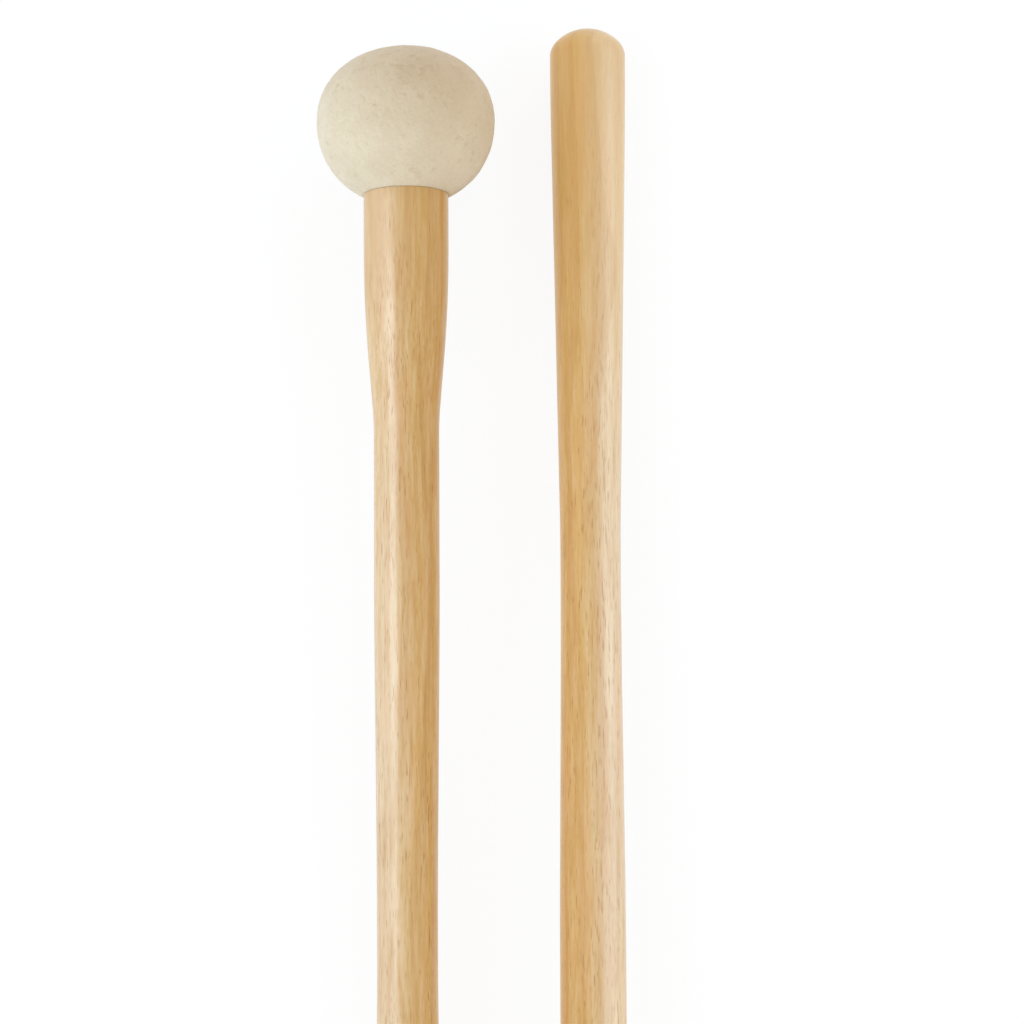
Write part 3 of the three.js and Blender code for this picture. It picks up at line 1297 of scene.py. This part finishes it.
class MALLET_OT_stage(bpy.types.Operator):
    """Set the floor, the soft light and the camera"""

    bl_idname = "mallet.stage"
    bl_label = "Set the stage"

    def execute(self, context):
        stage = settings().stage
        scene = context.scene
        scene.view_settings.view_transform = "Standard"
        floor = self.lay_floor(stage)
        self.light_sky(stage, scene)
        for number in MALLETS:
            self.light_mallet(stage, number, floor)
        self.set_camera(stage, scene)
        return {"FINISHED"}

    def lay_floor(self, stage):
        half = stage.floor_size / 2
        mesh = bpy.data.meshes.new("floor")
        corners = [(-half, -half, 0), (half, -half, 0), (half, half, 0), (-half, half, 0)]
        mesh.from_pydata(corners, [], [(0, 1, 2, 3)])
        floor = bpy.data.objects.new("floor", mesh)
        bpy.context.scene.collection.objects.link(floor)
        material = bpy.data.materials.new("pale_floor")
        tree = emptied(material)
        paint = painted(tree, "ShaderNodeBsdfDiffuse", [stage.floor_paint] * 3)
        glow = painted(tree, "ShaderNodeEmission", WHITE, Strength=1.0)
        share = white_for_sight(tree) * stage.floor_white
        end_in_mix(tree, share, paint, glow, "ShaderNodeOutputMaterial")
        mesh.materials.append(material)
        return floor

    def light_sky(self, stage, scene):
        world = bpy.data.worlds.new("Studio")
        scene.world = world
        tree = emptied(world)
        light = painted(tree, "ShaderNodeBackground", stage.sky, Strength=stage.sky_strength)
        white = painted(tree, "ShaderNodeBackground", WHITE, Strength=1.0)
        end_in_mix(tree, white_for_sight(tree), light, white, "ShaderNodeOutputWorld")

    def light_mallet(self, stage, number, floor):
        """The five lamps of one mallet. The lacquer mirrors the side lamp and the gleam alone."""
        one = number - 1
        mallet = self.light_group(f"mallet_{number}", number)
        around = self.light_group(f"mallet_and_floor_{number}", number, floor)
        far = stage.lamp_distance
        front_place = (stage.front_lean, stage.front_turn, far)
        fill_place = (stage.fill_leans[one], math.pi, far)
        lamps = (
            ("key", stage.key, stage.key_power, stage.key_size, (stage.key_lean, 0.0, far), around),
            ("side", stage.key, stage.side_power, stage.side_size, (stage.side_lean, 0.0, far), around),
            ("front", stage.key, stage.front_powers[one], stage.front_size, front_place, around),
            ("fill", stage.fill, stage.fill_powers[one], stage.fill_size, fill_place, mallet),
        )
        for kind, tint, watts, size, place, lit in lamps:
            lamp = self.hang_lamp(kind, number, tint, watts, size, place, lit)
            lamp.visible_glossy = kind == "side"
            if kind == "fill":
                lamp.light_linking.blocker_collection = mallet

        width = stage.gleam_widths[one]
        reach = stage.gleam_lengths[one]
        watts = stage.gleam_strengths[one] * math.pi * width * reach
        place = (stage.gleam_leans[one], stage.gleam_turns[one], stage.gleam_distances[one])
        gleam = self.hang_lamp("gleam", number, stage.gleam, watts, (width, reach), place, mallet)
        gleam.visible_diffuse = False

    def light_group(self, name, number, *others):
        """The pieces of one mallet, and what else its lamps light."""
        group = bpy.data.collections.new(name)
        pieces = [bpy.data.objects[f"{kind}_{number}"] for kind in ("handle", "felt_head", "felt_nap")]
        for one in (*pieces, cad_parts[f"mallet_{number}_glue_bond"], *others):
            group.objects.link(one)
        return group

    def hang_lamp(self, kind, number, tint, watts, size, place, lit):
        """A soft lamp beside a mallet. Its place is the angle that it leans from straight above, the
        angle that it is turned from the outer side towards the butt, and its distance."""
        lamp = bpy.data.lights.new(f"{kind}_{number}", "AREA")
        lamp.shape = "RECTANGLE"
        lamp.size, lamp.size_y = size
        lamp.energy = watts
        lamp.color = tint
        hung = bpy.data.objects.new(lamp.name, lamp)
        bpy.context.scene.collection.objects.link(hung)
        lean, turn, distance = place
        matrix = (
            Matrix.Translation((-settings().lying.spacing / 2, 0.0, 0.0))
            @ Matrix.Rotation(turn, 4, "Z")
            @ Matrix.Rotation(-lean, 4, "Y")
            @ Matrix.Translation((0.0, 0.0, distance))
        )
        hung.matrix_world = HALF_TURN @ matrix if number == 2 else matrix
        hung.light_linking.receiver_collection = lit
        hung.visible_camera = False
        return hung

    def set_camera(self, stage, scene):
        camera = bpy.data.objects.new("camera", bpy.data.cameras.new("camera"))
        scene.collection.objects.link(camera)
        camera.data.sensor_width = SENSOR_WIDTH
        camera.data.lens = stage.lens
        camera.data.clip_start = stage.camera_near
        camera.data.clip_end = stage.camera_far
        look = Vector((0.0, math.sin(stage.camera_tilt), -math.cos(stage.camera_tilt)))
        camera.matrix_world = (
            Matrix.Translation(stage.camera_target - look * stage.camera_distance)
            @ Matrix.Rotation(stage.camera_tilt, 4, "X")
            @ Matrix.Rotation(stage.camera_roll, 4, "Z")
        )
        scene.camera = camera


class MALLET_PT_panel(bpy.types.Panel):
    """The pair's pieces and settings."""

    bl_idname = "MALLET_PT_panel"
    bl_label = "Bass drum mallets"
    bl_space_type = "VIEW_3D"
    bl_region_type = "UI"
    bl_category = "Mallets"

    def draw(self, context):
        column = self.layout.column(align=True)
        for operator in OPERATORS:
            column.operator(operator.bl_idname)
        for group in ("handle", "head", "lying", "wood", "felt", "stage"):
            box = self.layout.box()
            box.label(text=group.capitalize())
            values = getattr(context.scene.mallets, group)
            for name in values.__annotations__:
                box.prop(values, name)


OPERATORS = (
    MALLET_OT_handles,
    MALLET_OT_felt_heads,
    MALLET_OT_felt_nap,
    MALLET_OT_glue,
    MALLET_OT_stage,
)
GROUPS = (HandleSizes, HeadSizes, LyingPlace, WoodLooks, FeltLooks, StageSettings, MalletSettings)


def register():
    for one in (*GROUPS, *OPERATORS, MALLET_PT_panel):
        bpy.utils.register_class(one)
    bpy.types.Scene.mallets = PointerProperty(type=MalletSettings)


def unregister():
    del bpy.types.Scene.mallets
    for one in reversed((*GROUPS, *OPERATORS, MALLET_PT_panel)):
        bpy.utils.unregister_class(one)


def main():
    """Makes every piece in order."""
    register()
    for operator in OPERATORS:
        category, name = operator.bl_idname.split(".")
        getattr(getattr(bpy.ops, category), name)()


if __name__ == "__main__":
    main()
